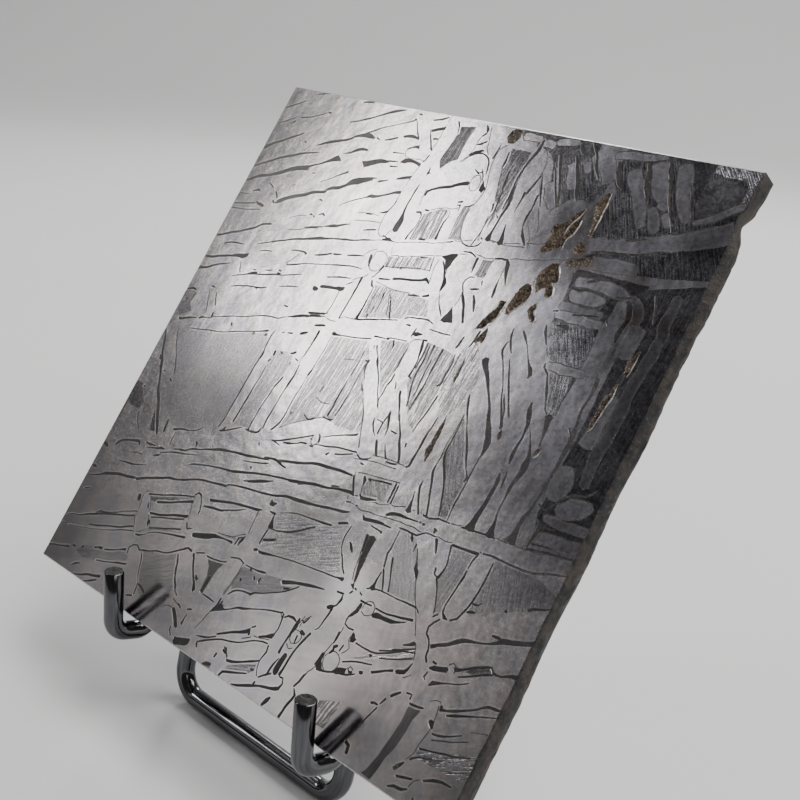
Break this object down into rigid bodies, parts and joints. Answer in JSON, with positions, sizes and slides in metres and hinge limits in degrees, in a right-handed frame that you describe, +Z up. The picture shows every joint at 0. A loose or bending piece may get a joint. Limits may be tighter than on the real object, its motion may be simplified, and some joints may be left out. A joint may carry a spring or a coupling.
{
  "type": "etched iron meteorite slice",
  "caption": "Square etched iron meteorite slice with a coarse crossing band pattern and weathered pits, leaning on a small bent-wire display stand.",
  "frame": {"origin": "middle of the model's footprint, on the surface it stands on", "axes": "+X to the right along the slice's lower edge, +Y away from the viewer, the way the slice leans, +Z up"},
  "size_m": [0.0766, 0.0464, 0.0777],
  "materials": {
    "meteoritic_iron": "etched satin",
    "stand_chrome": "bright plated"
  },
  "bodies": {
    "root": {"meteorite_slice": "meteoritic_iron", "cradle_wire": "stand_chrome", "front_foot_wire": "stand_chrome", "rear_leg_wire": "stand_chrome"}
  },
  "joints": []
}
